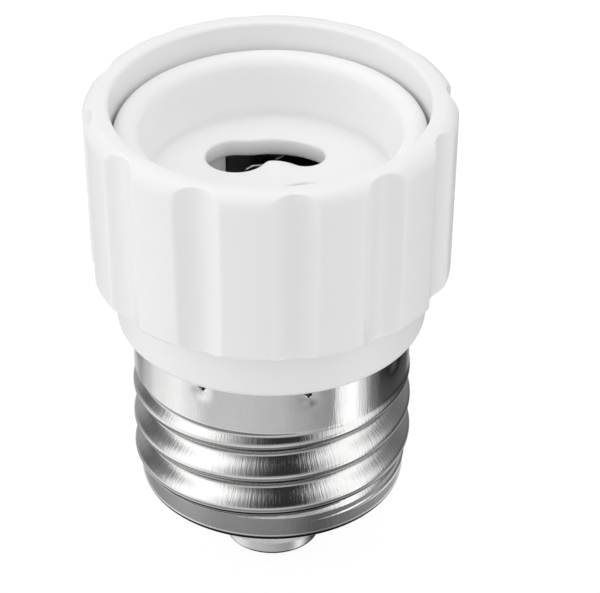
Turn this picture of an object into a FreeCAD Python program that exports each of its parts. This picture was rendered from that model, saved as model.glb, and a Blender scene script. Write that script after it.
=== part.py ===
import FreeCAD, Part
import math
import os

from FreeCAD import Placement, Rotation, Vector

# Lamp socket adapter: an E27 screw base that carries a twist-lock socket for a lamp with two pins.
# Millimetres, +Z up, origin at the lowest point of the centre contact, front towards -Y.
# Angles are in degrees, counter-clockwise from +X as seen from above.

# Screw shell, rolled from one sheet
thread_pitch = 3.629
thread_depth = 1.1
thread_crest_radius = 13.2
thread_turns = 3.65
thread_start_angle = -126.0
thread_start_height = 8.32
thread_ridge_width = 2.2
thread_ridge_sunk = 0.25
shell_sheet = 0.4
shell_band_drop = 0.15
shell_length = 17.95
shell_band_length = 4.2
shell_band_slope = 1.2
shell_roll_radius = 1.2
shell_foot_swell = 0.45
shell_foot_gap = 0.3
shell_foot_land = 1.55
shell_foot_slope = 0.4
shell_taper_start = 0.45
shell_taper_length = 5.75
stake_count = 8
stake_first_angle = -74.7
stake_drop = 0.95
stake_width = 1.2
stake_height = 0.9
stake_depth = 0.9

# Centre contact, a rivet with a domed head
contact_radius = 4.6
contact_height = 2.35
contact_dome = 0.3
contact_edge_round = 0.5
rivet_shank_radius = 1.5
rivet_head_radius = 2.2
rivet_head_height = 0.5
rivet_head_round = 0.3

# Solder tag under the rivet's closed end
tag_thickness = 0.5
tag_rim = 1.5
tag_ear_reach = 5.5
tag_ear_width = 2.4

# Base body, moulded in one piece: nose, hub inside the shell, collar and spigot
nose_overhang = 0.9
nose_round = 0.4
nose_length = 3.0
nose_floor = 3.0
nose_cavity_gap = 1.1
insulator_wall = 1.9
insulator_height = 2.3
hub_gap = 0.5
hub_wall = 1.8
hub_floor = 1.8
hub_chamfer = 1.2
hub_seat_length = 3.7
hub_seat_slope = 0.4
collar_overhang = 1.45
collar_land = 1.6
collar_height = 5.35
collar_round = 0.8
collar_floor = 1.9
spigot_wall = 1.6
spigot_gap = 1.94
snap_height = 0.8
snap_proud = 0.35
snap_drop = 2.1

# Fluted ring round the socket
ring_wall = 2.05
ring_flare = 0.4
ring_gap = 0.25
ring_flange = 1.8
ring_top_round = 1.4
ring_bottom_round = 0.8
ring_bore_round = 0.4
flute_count = 12
flute_first_angle = -83.1
flute_width = 3.9
flute_depth = 0.8

# Socket insert with its recess, floor and two keyholes
insert_wall = 1.35
lip_drop = 2.3
lip_width = 2.35
recess_depth = 5.8
recess_draft = 0.7
floor_thickness = 2.0
floor_round = 0.5
block_wall = 0.39
block_gap = 0.4
block_depth = 5.55
pin_circle_radius = 5.0
entry_radius = 3.0
entry_angle = 129.6
slot_end_angle = 51.0
slot_width = 4.0
pocket_left = -4.25
pocket_right = 5.9
pocket_front = 1.2
pocket_rear = 8.7
pocket_entry_relief = 0.3

# Contact springs, each bent from one strip
strip_thickness = 0.3
strip_height = 4.8
strip_gap = 0.2
strip_bend = 0.6
leaf_offset = 1.6
leaf_bump_x = 2.35
leaf_bump_depth = 2.4
leaf_crest_x = 3.8
leaf_crest_depth = 1.2
leaf_curl_x = 7.3
leaf_curl_depth = 1.6
leaf_end_x = 7.9
leaf_end_depth = 2.25
tongue_x = 1.3
tongue_length = 1.2
tongue_lean = 45.0
tail_width = 1.8
tail_offset = -2.7
tail_drop = 3.3

# Back plate and its screws
plate_edge_gap = 0.1
plate_thickness = 1.8
plate_room = 2.29
screw_offset = 7.7
screw_radius = 1.05
screw_length = 6.2
screw_head_radius = 1.9
screw_head_height = 1.3
screw_head_round = 0.5
screw_point = 0.8
cross_length = 2.2
cross_width = 0.6
cross_depth = 0.7

# Leads
core_radius = 0.4
sleeve_radius = 0.9
solder_radius = 0.95
lead_top_drop = 0.3
sleeve_top_drop = 2.3
solder_drop = 0.2
neutral_turn_inset = 2.4
neutral_bend = 1.3
neutral_fold = 0.6
neutral_exit_drop = 2.2
neutral_end_drop = 1.3
live_mouth_inset = 1.5
live_mouth_bend = 3.0
live_high_drop = 11.4
live_high_bend = 8.0
live_low_rise = 2.2
live_low_bend = 7.0
live_bare_length = 1.8

# Clearances
seat_clearance = 0.2
slip_clearance = 0.1
bore_clearance = 0.05
thin_clearance = 0.02

# How far a cutting form runs past the face it cuts
overrun = 0.5

# Heights worked out upwards from the contact
nose_inside = contact_height + nose_floor
insulator_edge = contact_height + nose_length
shell_bottom = insulator_edge + insulator_height
hub_bottom = shell_bottom + shell_sheet + bore_clearance
hub_inside = hub_bottom + hub_floor
shell_top = shell_bottom + shell_length
collar_inside = shell_top + collar_floor
ring_bottom = shell_top + collar_height
flange_top = ring_bottom + ring_flange
plate_bottom = collar_inside + screw_head_height + plate_room
block_bottom = plate_bottom + plate_thickness
floor_bottom = block_bottom + block_depth
floor_top = floor_bottom + floor_thickness
lip_top = floor_top + recess_depth
ring_top = lip_top + lip_drop
spigot_top = floor_bottom - spigot_gap
snap_low = spigot_top - snap_drop

# Radii of the nose, worked out from the contact and the tag
tag_radius = rivet_shank_radius + tag_rim
nose_radius = contact_radius + nose_overhang
nose_cavity_radius = tag_ear_reach + nose_cavity_gap
insulator_radius = nose_cavity_radius + insulator_wall

# Radii of the shell and the hub, worked out from the thread
thread_root_radius = thread_crest_radius - thread_depth
shell_band_radius = thread_crest_radius - shell_band_drop
shell_foot_radius = thread_root_radius + shell_foot_swell
shell_foot_bore = insulator_radius + shell_foot_gap
hub_radius = thread_root_radius - shell_sheet - hub_gap
hub_cavity_radius = hub_radius - hub_wall

# The block goes round the pockets; the collar covers the shell's band and leaves a land round the spigot
block_radius = math.hypot(pocket_right, pocket_rear) + block_wall
plate_radius = block_radius - plate_edge_gap
spigot_least_radius = block_radius + block_gap + spigot_wall
collar_radius = max(shell_band_radius + collar_overhang, spigot_least_radius + collar_land)

# Radii of the socket, worked out from the collar to the ring
spigot_radius = collar_radius - collar_land
spigot_bore = spigot_radius - spigot_wall
skirt_radius = spigot_radius + seat_clearance
insert_radius = skirt_radius + insert_wall
lip_inner_radius = insert_radius - lip_width
floor_radius = lip_inner_radius - recess_draft
ring_bore_radius = insert_radius + ring_gap
ring_bottom_radius = ring_bore_radius + ring_wall
ring_top_radius = ring_bottom_radius + ring_flare

# Places of the spring's back strip and of the leads worked out from the sizes above
strip_back = pocket_rear - strip_gap - strip_thickness / 2
lead_start_y = strip_back - strip_thickness / 2 - core_radius - bore_clearance
neutral_angle = math.degrees(math.atan2(-lead_start_y, -tail_offset))
live_angle = neutral_angle + 180
lead_exit_height = shell_top - neutral_exit_drop
lead_end_height = lead_exit_height - neutral_end_drop
lead_groove_radius = shell_band_radius - shell_sheet - core_radius - thin_clearance
tag_wire_x = -tag_ear_reach + tag_ear_width / 2
tag_wire_height = nose_inside + tag_thickness

Z_AXIS = Vector(0, 0, 1)
HALF_TURN = Rotation(Z_AXIS, 180)


def on_circle(radius, angle, z=0.0):
    """Point at a radius and an angle in degrees about the Z axis."""
    a = math.radians(angle)
    return Vector(radius * math.cos(a), radius * math.sin(a), z)


def rounded_edges(corners, closed):
    """Straight runs joined by tangent arcs; each corner is a point with its radius."""
    count = len(corners)
    cut_points = []
    for i, (point, radius) in enumerate(corners):
        at_end = not closed and i in (0, count - 1)
        if at_end or radius == 0:
            cut_points.append((point, None, point))
            continue
        before = (corners[i - 1][0] - point).normalize()
        after = (corners[(i + 1) % count][0] - point).normalize()
        half = before.getAngle(after) / 2
        reach = radius / math.tan(half)
        middle = (before + after).normalize()
        centre = point + middle * (radius / math.sin(half))
        top = centre - middle * radius
        cut_points.append((point + before * reach, top, point + after * reach))
    edges = []
    for i, (start, top, end) in enumerate(cut_points):
        if top is not None:
            edges.append(Part.Arc(start, top, end).toShape())
        if i < count - 1 or closed:
            following = cut_points[(i + 1) % count][0]
            if (following - end).Length > 1e-6:
                edges.append(Part.makeLine(end, following))
    return edges


def turned(profile):
    """Solid of revolution; the profile is (radius, z) or (radius, z, rounding)."""
    corners = []
    for corner in profile:
        rounding = corner[2] if len(corner) > 2 else 0
        corners.append((Vector(corner[0], 0, corner[1]), rounding))
    face = Part.Face(Part.Wire(rounded_edges(corners, True)))
    return face.revolve(Vector(0, 0, 0), Z_AXIS, 360)


def piped(route, radius):
    """Round bar along a route of (point, bend radius)."""
    path = Part.Wire(rounded_edges(route, False))
    direction = (route[1][0] - route[0][0]).normalize()
    section = Part.Wire(Part.makeCircle(radius, route[0][0], direction))
    bar = path.makePipeShell([section], True, False)
    ratio = bar.Volume / (math.pi * radius ** 2 * path.Length)
    bends = [round(bend, 2) for _, bend in route[1:-1]]
    print("bar radius", radius, "bends", bends, "volume ratio", round(ratio, 4))
    return bar


def half_turned(shape):
    """Copy of a shape turned half round the Z axis."""
    copy = shape.copy()
    copy.Placement = Placement(Vector(0, 0, 0), HALF_TURN).multiply(copy.Placement)
    return copy


def write(name, shape):
    """Check one piece and write it as its own file."""
    solid = shape.Solids[0]
    if len(shape.Solids) != 1 or not solid.isValid():
        raise ValueError(name + " is not one valid solid")
    solid.exportStep("parts/" + name + ".step")


def thread_ridge(inward):
    """Helical ridge of the rolled thread, moved inward by the sheet's thickness."""
    root = thread_root_radius - inward
    half = thread_ridge_width / 2
    foot = thread_ridge_sunk
    helix = Part.makeHelix(thread_pitch, thread_pitch * thread_turns, root)
    low = Vector(root - foot, 0, -half)
    low_edge = Vector(root, 0, -half)
    crest = Vector(root + thread_depth, 0, 0)
    high_edge = Vector(root, 0, half)
    high = Vector(root - foot, 0, half)
    section = Part.Wire([
        Part.makeLine(low, low_edge),
        Part.Arc(low_edge, crest, high_edge).toShape(),
        Part.makeLine(high_edge, high),
        Part.makeLine(high, low),
    ])
    ridge = Part.Wire(helix.Edges).makePipeShell([section], True, True)
    ridge.rotate(Vector(0, 0, 0), Z_AXIS, thread_start_angle)
    ridge.translate(Vector(0, 0, thread_start_height))
    return ridge


def shell_form(inward):
    """Filled form of the shell's outside, or of its inside when moved inward."""
    band = shell_band_radius - inward
    root = thread_root_radius - inward
    foot = shell_foot_radius - inward
    bottom = shell_bottom + inward
    roll = shell_roll_radius - inward
    top = shell_top + inward
    slope_top = shell_top - shell_band_length
    roll_top = shell_bottom + shell_roll_radius
    land_top = roll_top + shell_foot_land
    tube = turned([
        (0, bottom),
        (foot, bottom, roll),
        (foot, land_top),
        (root, land_top + shell_foot_slope),
        (root, slope_top - shell_band_slope),
        (band, slope_top),
        (band, top),
        (0, top),
    ])
    limit = turned([
        (0, bottom),
        (foot, bottom, roll),
        (foot, roll_top + shell_taper_start),
        (thread_crest_radius + thread_depth - inward, roll_top + shell_taper_length),
        (thread_crest_radius + thread_depth - inward, top),
        (0, top),
    ])
    return tube.fuse(thread_ridge(inward).common(limit))


def stake_prisms():
    """Small three-sided pits that lock the shell to the hub, point downwards."""
    prisms = []
    height = shell_top - stake_drop
    half = stake_width / 2
    for i in range(stake_count):
        corners = [
            Vector(0, -half, height + stake_height / 2),
            Vector(0, half, height + stake_height / 2),
            Vector(0, 0, height - stake_height / 2),
        ]
        face = Part.Face(Part.makePolygon(corners + corners[:1]))
        prism = face.extrude(Vector(stake_depth + overrun, 0, 0))
        prism.translate(Vector(shell_band_radius - stake_depth, 0, 0))
        prism.rotate(Vector(0, 0, 0), Z_AXIS, stake_first_angle + i * 360 / stake_count)
        prisms.append(prism)
    return prisms


def make_screw_shell():
    """Rolled sheet: band, thread, rolled foot and a flange turned in under the hub."""
    shell = shell_form(0).cut(shell_form(shell_sheet))
    bore = Part.makeCylinder(shell_foot_bore, 2 * shell_sheet, Vector(0, 0, shell_bottom - shell_sheet / 2))
    return shell.cut([bore] + stake_prisms())


def make_centre_contact():
    """Rivet: domed head, shank through the nose, and an end closed over the solder tag."""
    tag_top = nose_inside + tag_thickness
    edge = contact_radius - contact_edge_round
    shank = rivet_shank_radius
    dome_middle = Vector(edge / 2, 0, contact_dome / 4)
    dome = Part.Arc(Vector(0, 0, 0), dome_middle, Vector(edge, 0, contact_dome)).toShape()
    corners = [
        (Vector(edge, 0, contact_dome), 0),
        (Vector(contact_radius, 0, contact_dome + contact_edge_round), 0),
        (Vector(contact_radius, 0, contact_height), 0),
        (Vector(shank, 0, contact_height), 0),
        (Vector(shank, 0, tag_top), 0),
        (Vector(rivet_head_radius, 0, tag_top), 0),
        (Vector(rivet_head_radius, 0, tag_top + rivet_head_height), rivet_head_round),
        (Vector(0, 0, tag_top + rivet_head_height), 0),
        (Vector(0, 0, 0), 0),
    ]
    face = Part.Face(Part.Wire([dome] + rounded_edges(corners, False)))
    return face.revolve(Vector(0, 0, 0), Z_AXIS, 360)


def make_solder_tag():
    """Washer with an ear that takes the live lead."""
    washer = Part.makeCylinder(tag_radius, tag_thickness, Vector(0, 0, nose_inside))
    ear = Part.makeBox(tag_ear_reach - tag_ear_width / 2, tag_ear_width, tag_thickness)
    ear.translate(Vector(-tag_ear_reach + tag_ear_width / 2, -tag_ear_width / 2, nose_inside))
    tip = Part.makeCylinder(tag_ear_width / 2, tag_thickness,
                            Vector(-tag_ear_reach + tag_ear_width / 2, 0, nose_inside))
    hole = Part.makeCylinder(rivet_shank_radius + bore_clearance, 3 * tag_thickness,
                             Vector(0, 0, nose_inside - tag_thickness))
    return washer.fuse([ear, tip]).removeSplitter().cut(hole)


def lead_hole():
    """Way of the neutral lead through the hub wall and down beside the shell."""
    start = on_circle(hub_cavity_radius - overrun, neutral_angle, lead_exit_height)
    radius = core_radius + slip_clearance
    hole = Part.makeCylinder(radius, spigot_radius, start, on_circle(1, neutral_angle))
    foot = Vector(0, 0, lead_exit_height - thread_pitch / 2)
    keep = Part.makeCylinder(shell_band_radius, thread_pitch, foot)
    groove_start = on_circle(lead_groove_radius, neutral_angle, lead_end_height - core_radius / 2)
    groove = Part.makeCylinder(radius, lead_exit_height - lead_end_height + core_radius, groove_start)
    return hole.common(keep).fuse(groove)


def make_base_body():
    """Nose, insulator, hub, collar and spigot in one moulding."""
    seat = shell_band_radius - shell_sheet - slip_clearance
    seat_bottom = shell_top - hub_seat_length
    body = turned([
        (rivet_shank_radius + bore_clearance, contact_height),
        (nose_radius, contact_height, nose_round),
        (insulator_radius, insulator_edge),
        (insulator_radius, hub_bottom),
        (hub_radius - hub_chamfer, hub_bottom),
        (hub_radius, hub_bottom + hub_chamfer),
        (hub_radius, seat_bottom - hub_seat_slope),
        (seat, seat_bottom),
        (seat, shell_top),
        (collar_radius, shell_top, collar_round),
        (collar_radius, ring_bottom),
        (spigot_radius, ring_bottom),
        (spigot_radius, snap_low),
        (spigot_radius + snap_proud, snap_low + snap_height / 2),
        (spigot_radius, snap_low + snap_height),
        (spigot_radius, spigot_top),
        (spigot_bore, spigot_top),
        (spigot_bore, collar_inside),
        (hub_cavity_radius, collar_inside),
        (hub_cavity_radius, hub_inside),
        (nose_cavity_radius, hub_inside),
        (nose_cavity_radius, nose_inside),
        (rivet_shank_radius + bore_clearance, nose_inside),
    ])
    return body.cut([lead_hole()] + stake_prisms())


def flute_cutter(angle):
    """Round bar that hollows one flute; it leans with the ring's taper."""
    radius = (flute_width ** 2 / 4 + flute_depth ** 2) / (2 * flute_depth)
    height = ring_top - ring_bottom
    lean = math.degrees(math.atan2(ring_flare, height))
    cutter = Part.makeCylinder(radius, height + 4 * overrun, Vector(0, 0, -2 * overrun))
    cutter.rotate(Vector(0, 0, 0), Vector(0, 1, 0), lean)
    cutter.translate(Vector(ring_bottom_radius - flute_depth + radius, 0, ring_bottom))
    cutter.rotate(Vector(0, 0, 0), Z_AXIS, angle)
    return cutter


def make_fluted_ring():
    """Tapered ring with a flange that sits on the collar, and flutes all round."""
    ring = turned([
        (skirt_radius, ring_bottom),
        (ring_bottom_radius, ring_bottom, ring_bottom_round),
        (ring_top_radius, ring_top, ring_top_round),
        (ring_bore_radius, ring_top, ring_bore_round),
        (ring_bore_radius, flange_top),
        (skirt_radius, flange_top),
    ])
    cutters = [flute_cutter(flute_first_angle + i * 360 / flute_count) for i in range(flute_count)]
    return ring.cut(cutters)


def keyhole(z_low, z_high):
    """Entry hole and curved slot of one lamp pin."""
    height = z_high - z_low
    half = slot_width / 2
    entry = Part.makeCylinder(entry_radius, height, on_circle(pin_circle_radius, entry_angle, z_low))
    end = Part.makeCylinder(half, height, on_circle(pin_circle_radius, slot_end_angle, z_low))
    sweep = entry_angle - slot_end_angle
    outer = Part.makeCylinder(pin_circle_radius + half, height, Vector(0, 0, z_low), Z_AXIS, sweep)
    inner = Part.makeCylinder(pin_circle_radius - half, height, Vector(0, 0, z_low), Z_AXIS, sweep)
    band = outer.cut(inner)
    band.rotate(Vector(0, 0, 0), Z_AXIS, slot_end_angle)
    return band.fuse([entry, end])


def pocket():
    """Hollow under one keyhole: room for the pin's head and the contact spring."""
    height = block_depth + overrun
    low = block_bottom - overrun
    relieved = entry_radius + pocket_entry_relief
    entry = Part.makeCylinder(relieved, height, on_circle(pin_circle_radius, entry_angle, low))
    room = Part.makeBox(pocket_right - pocket_left, pocket_rear - pocket_front, height)
    room.translate(Vector(pocket_left, pocket_front, low))
    return entry.fuse(room)


def make_socket_insert():
    """Half-round lip, tapered recess, floor with keyholes, and the contact block below."""
    lip = lip_width / 2
    groove_low = snap_low - slip_clearance
    groove_high = snap_low + snap_height + slip_clearance
    start = Vector(insert_radius, 0, lip_top - lip)
    end = Vector(lip_inner_radius, 0, lip_top - lip)
    lip_arc = Part.Arc(start, Vector(insert_radius - lip, 0, lip_top), end).toShape()
    inside = [
        (end, 0),
        (Vector(floor_radius, 0, floor_top), floor_round),
        (Vector(0, 0, floor_top), 0),
        (Vector(0, 0, block_bottom), 0),
        (Vector(block_radius, 0, block_bottom), 0),
        (Vector(block_radius, 0, floor_bottom), 0),
        (Vector(skirt_radius, 0, floor_bottom), 0),
        (Vector(skirt_radius, 0, groove_high), 0),
        (Vector(skirt_radius + snap_proud, 0, (groove_low + groove_high) / 2), 0),
        (Vector(skirt_radius, 0, groove_low), 0),
        (Vector(skirt_radius, 0, flange_top), 0),
        (Vector(insert_radius, 0, flange_top), 0),
        (start, 0),
    ]
    face = Part.Face(Part.Wire([lip_arc] + rounded_edges(inside, False)))
    insert = face.revolve(Vector(0, 0, 0), Z_AXIS, 360)
    slot = keyhole(floor_bottom - overrun, floor_top + overrun)
    pilots = []
    for side in (-1, 1):
        pilots.append(Part.makeCylinder(screw_radius + bore_clearance,
                                        screw_length - plate_thickness + overrun,
                                        Vector(side * screw_offset, 0, block_bottom)))
    return insert.cut([slot, half_turned(slot), pocket(), half_turned(pocket())] + pilots)


def make_contact_spring():
    """Strip along the pocket's rear wall, folded forward into a wavy leaf, with a tongue and a tail."""
    right = pocket_right - strip_gap - strip_thickness / 2
    level = block_bottom
    route = [
        (Vector(pocket_left + strip_gap, strip_back, level), 0),
        (Vector(right, strip_back, level), strip_bend),
        (Vector(right, strip_back - leaf_offset, level), strip_bend),
        (Vector(right - leaf_bump_x, strip_back - leaf_bump_depth, level), strip_bend),
        (Vector(right - leaf_crest_x, strip_back - leaf_crest_depth, level), strip_bend),
        (Vector(right - leaf_curl_x, strip_back - leaf_curl_depth, level), strip_bend),
        (Vector(right - leaf_end_x, strip_back - leaf_end_depth, level), 0),
    ]
    centre_line = Part.Wire(rounded_edges(route, False))
    face = centre_line.makeOffset2D(strip_thickness / 2, 0, True, True)
    strip = face.extrude(Vector(0, 0, strip_height))
    tongue = Part.makeBox(tongue_length, strip_thickness, strip_height)
    tongue.translate(Vector(-tongue_length, -strip_thickness, 0))
    tongue.rotate(Vector(0, 0, 0), Z_AXIS, tongue_lean)
    tongue.translate(Vector(tongue_x, strip_back + strip_thickness / 2, level))
    tail = Part.makeBox(tail_width, strip_thickness, tail_drop + overrun)
    tail_corner = Vector(tail_offset - tail_width / 2, strip_back - strip_thickness / 2, level - tail_drop)
    tail.translate(tail_corner)
    return strip.fuse([tongue, tail]).removeSplitter()


def make_back_plate():
    """Disc that closes the pockets from below, with slots for the tails and two screw holes."""
    plate = Part.makeCylinder(plate_radius, plate_thickness, Vector(0, 0, plate_bottom))
    slot = Part.makeBox(tail_width + 2 * slip_clearance, strip_thickness + 2 * slip_clearance,
                        plate_thickness + 2 * overrun)
    slot.translate(Vector(tail_offset - tail_width / 2 - slip_clearance,
                          strip_back - strip_thickness / 2 - slip_clearance, plate_bottom - overrun))
    cuts = [slot, half_turned(slot)]
    for side in (-1, 1):
        cuts.append(Part.makeCylinder(screw_radius + slip_clearance, plate_thickness + 2 * overrun,
                                      Vector(side * screw_offset, 0, plate_bottom - overrun)))
    return plate.cut(cuts)


def make_plate_screw(side):
    """Pan-head screw driven up through the back plate into the insert."""
    head_low = plate_bottom - screw_head_height
    screw = turned([
        (0, head_low),
        (screw_head_radius, head_low, screw_head_round),
        (screw_head_radius, plate_bottom),
        (screw_radius, plate_bottom),
        (screw_radius, plate_bottom + screw_length - screw_point),
        (0, plate_bottom + screw_length),
    ])
    corner = Vector(-cross_length / 2, -cross_width / 2, head_low)
    recess = Part.makeBox(cross_length, cross_width, cross_depth, corner)
    cross = recess.copy()
    cross.rotate(Vector(0, 0, 0), Z_AXIS, 90)
    screw = screw.cut([recess, cross])
    screw.translate(Vector(side * screw_offset, 0, 0))
    return screw


def neutral_core_route():
    """Down from the spring's tail, out through the hub wall, and down beside the shell."""
    start = Vector(-tail_offset, -lead_start_y, plate_bottom - lead_top_drop)
    turn = on_circle(hub_cavity_radius - neutral_turn_inset, neutral_angle, lead_exit_height)
    out = on_circle(lead_groove_radius, neutral_angle, lead_exit_height)
    stop = on_circle(lead_groove_radius, neutral_angle, lead_end_height)
    return [(start, 0), (turn, neutral_bend), (out, neutral_fold), (stop, 0)]


def live_core_route():
    """Down from the spring's tail, in at the hub's mouth and across to the solder tag."""
    start = Vector(tail_offset, lead_start_y, plate_bottom - lead_top_drop)
    mouth = on_circle(hub_cavity_radius - live_mouth_inset, live_angle, collar_inside)
    high = Vector(mouth.x, mouth.y, plate_bottom - live_high_drop)
    low = Vector(tag_wire_x, 0, hub_inside + live_low_rise)
    stop = Vector(tag_wire_x, 0, tag_wire_height)
    bends = [(mouth, live_mouth_bend), (high, live_high_bend), (low, live_low_bend)]
    return [(start, 0)] + bends + [(stop, 0)]


def sleeve_start(core):
    """Point on the first run of a lead, below its joint, where the sleeve begins."""
    start = core[0][0]
    run = core[1][0] - start
    return start + run * ((sleeve_top_drop - lead_top_drop) / -run.z)


def neutral_sleeve_route():
    """Along the core from below the joint to the hub's inner wall."""
    core = neutral_core_route()
    stop = on_circle(hub_cavity_radius - slip_clearance, neutral_angle, lead_exit_height)
    return [(sleeve_start(core), 0), core[1], (stop, 0)]


def live_sleeve_route():
    """Along the core from below the joint to just above the solder tag."""
    core = live_core_route()
    stop = Vector(tag_wire_x, 0, tag_wire_height + live_bare_length)
    return [(sleeve_start(core), 0)] + core[1:-1] + [(stop, 0)]


def make_lead(core_path, sleeve_path):
    """Bare core and the sleeve slipped over it."""
    core = piped(core_path, core_radius)
    sleeve = piped(sleeve_path, sleeve_radius).cut(piped(sleeve_path, core_radius + bore_clearance))
    return core, sleeve


def make_solder(centre, keep_off, floor_height):
    """Rounded drop of solder about a joint."""
    drop = Part.makeSphere(solder_radius, centre)
    if floor_height is not None:
        width = 4 * solder_radius
        corner = Vector(centre.x - width / 2, centre.y - width / 2, floor_height - width)
        below = Part.makeBox(width, width, width, corner)
        drop = drop.cut(below)
    return drop.cut(keep_off)


os.makedirs("parts", exist_ok=True)

contact_live = make_contact_spring()
contact_neutral = half_turned(contact_live)
live_core, live_sleeve = make_lead(live_core_route(), live_sleeve_route())
neutral_core, neutral_sleeve = make_lead(neutral_core_route(), neutral_sleeve_route())
joint_height = plate_bottom - solder_radius - solder_drop
live_joint = Vector(tail_offset, lead_start_y + core_radius / 2, joint_height)
neutral_joint = Vector(-tail_offset, -lead_start_y - core_radius / 2, joint_height)
tag_joint = Vector(tag_wire_x, 0, tag_wire_height)

write("screw_shell", make_screw_shell())
write("centre_contact", make_centre_contact())
write("solder_tag", make_solder_tag())
write("base_body", make_base_body())
write("fluted_ring", make_fluted_ring())
write("socket_insert", make_socket_insert())
write("contact_spring_live", contact_live)
write("contact_spring_neutral", contact_neutral)
write("back_plate", make_back_plate())
write("plate_screw_left", make_plate_screw(-1))
write("plate_screw_right", make_plate_screw(1))
write("live_core", live_core)
write("live_sleeve", live_sleeve)
write("neutral_core", neutral_core)
write("neutral_sleeve", neutral_sleeve)
write("live_solder", make_solder(live_joint, [contact_live, live_core], None))
write("neutral_solder", make_solder(neutral_joint, [contact_neutral, neutral_core], None))
write("tip_solder", make_solder(tag_joint, [live_core], tag_wire_height))
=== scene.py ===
import math

import bmesh
import bpy
import numpy as np
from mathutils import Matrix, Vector


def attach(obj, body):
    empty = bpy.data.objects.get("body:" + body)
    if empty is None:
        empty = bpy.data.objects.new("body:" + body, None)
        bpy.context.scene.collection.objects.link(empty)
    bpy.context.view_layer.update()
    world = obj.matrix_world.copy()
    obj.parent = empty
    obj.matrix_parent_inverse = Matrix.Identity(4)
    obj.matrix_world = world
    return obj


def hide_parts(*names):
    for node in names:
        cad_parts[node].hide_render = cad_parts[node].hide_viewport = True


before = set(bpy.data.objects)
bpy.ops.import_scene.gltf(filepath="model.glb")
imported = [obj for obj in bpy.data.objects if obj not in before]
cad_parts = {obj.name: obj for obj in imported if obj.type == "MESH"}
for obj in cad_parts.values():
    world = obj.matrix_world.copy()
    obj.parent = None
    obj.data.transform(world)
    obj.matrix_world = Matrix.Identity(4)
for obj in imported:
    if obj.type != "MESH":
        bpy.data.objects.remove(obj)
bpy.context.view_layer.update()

# Sizes in millimetres; meshes are written in metres.
MM = 0.001

THREAD_PITCH = 3.629
THREAD_DEPTH = 1.1
CREST_RADIUS = 13.2
CREST_HEIGHT_FRONT = 19.42
CREST_BREADTH = 0.12
BAND_RADIUS = 13.05
SHEET = 0.4
SHELL_BOTTOM = 7.65
SHELL_TOP = 25.6
SHELL_RIM = 0.12
SHELL_RIM_EASE = 0.08
FOOT_RADIUS = 12.55
FOOT_ROLL = 1.2
FOOT_BORE = 8.8
FOOT_LAND_TOP = 10.55
FOOT_EASE = 0.2
FOOT_TURN = 0.45
FOOT_FALL = 2.0
TAPER_START = 9.9
TAPER_RISE = 0.42
FOOT_BLEND = 0.12
GROOVE_TOP = 20.8
GROOVE_RUN_IN = 1.2
SWELL_TOP = 20.9
SWELL_RUN = 1.2
STAKES = 8
STAKE_FIRST = math.radians(-74.7)
STAKE_HEIGHT = 24.65
STAKE_WIDTH = 1.3
STAKE_TALL = 0.95
STAKE_DEEP = 0.7
STAKE_SIDE_EDGE = 0.14
STAKE_TOP_EDGE = 0.12
STAKE_CROWDING = 0.7
DENT_DEEP = 0.16
DENT_HALF_WIDTH = 0.9
DENT_HALF_TALL = 0.8
DENT_DROP = 0.45
BAND_BOTTOM = 22.0
STAKE_ROWS_BOTTOM = 24.2

CONTACT_RADIUS = 4.6
CONTACT_HEIGHT = 2.35
CONTACT_DOME = 0.3
CONTACT_ROUND = 0.5
CONTACT_EASE = 0.1
SHANK_RADIUS = 1.5
TAG_TOP = 5.85
RIVET_TOP = 6.35
RIVET_LOW_RADIUS = 2.2
RIVET_HIGH_RADIUS = 2.0

NOSE_RADIUS = 5.5
NOSE_ROUND = 0.4
NOSE_INSIDE = 5.35
NOSE_CAVITY = 6.6
INSULATOR_RADIUS = 8.5
INSULATOR_EDGE = 5.35
HUB_RADIUS = 11.2
HUB_FOOT_GAP = 0.45
HUB_FOOT_EASE = 1.2
HUB_CAVITY = 9.4
HUB_INSIDE = 9.9
SEAT_GAP = 0.1
SEAT_LENGTH = 3.7
SEAT_SLOPE = 0.4
COLLAR_INSIDE = 27.5
COLLAR_RADIUS = 14.5
COLLAR_ROUND = 0.8
SHANK_BORE = 1.55
SPIGOT_RADIUS = 12.9
SPIGOT_BORE = 11.3
SPIGOT_TOP = 36.5

RING_BOTTOM = 30.95
RING_TOP = 48.54
RING_TOP_RADIUS = 17.15
RING_BOTTOM_RADIUS = 16.75
RING_TOP_ROUND = 1.4
RING_BOTTOM_ROUND = 0.8
RING_BORE = 14.7
RING_BORE_ROUND = 0.4
RING_FLANGE_BORE = 13.1
RING_FLANGE_TOP = 32.75
FLUTES = 12
FLUTE_FIRST = math.radians(-83.1)
FLUTE_WIDTH = 3.9
FLUTE_DEPTH = 0.92
LOBE_BLEND = 0.12
RING_FOOT_LAND = 0.6

INSERT_RADIUS = 14.45
LIP_TOP = 46.24
LIP_INNER = 12.1
FLOOR_RADIUS = 11.4
FLOOR_FILLET = 0.5
FLOOR_FLAT_RADIUS = FLOOR_RADIUS - FLOOR_FILLET
FLOOR_TOP = 40.44
FLOOR_BOTTOM = 38.7
BLOCK_RADIUS = 10.9
BLOCK_BOTTOM = 32.89
SKIRT_BORE = 13.1
PIN_CIRCLE = 5.0
ENTRY_RADIUS = 2.9
ENTRY_ANGLE = math.radians(129.6)
SLOT_END_ANGLE = math.radians(51.0)
SLOT_WIDTH = 3.85
KEYHOLE_MIDDLE = np.array([-0.6, 4.7])
KEYHOLE_BLEND = 0.5
KEYHOLE_EDGE = 0.22
POCKET_LEFT = -4.25
POCKET_RIGHT = 5.9
POCKET_FRONT = 1.2
POCKET_REAR = 8.7
POCKET_RELIEF = 0.3
POCKET_CORNER = 0.15

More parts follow.
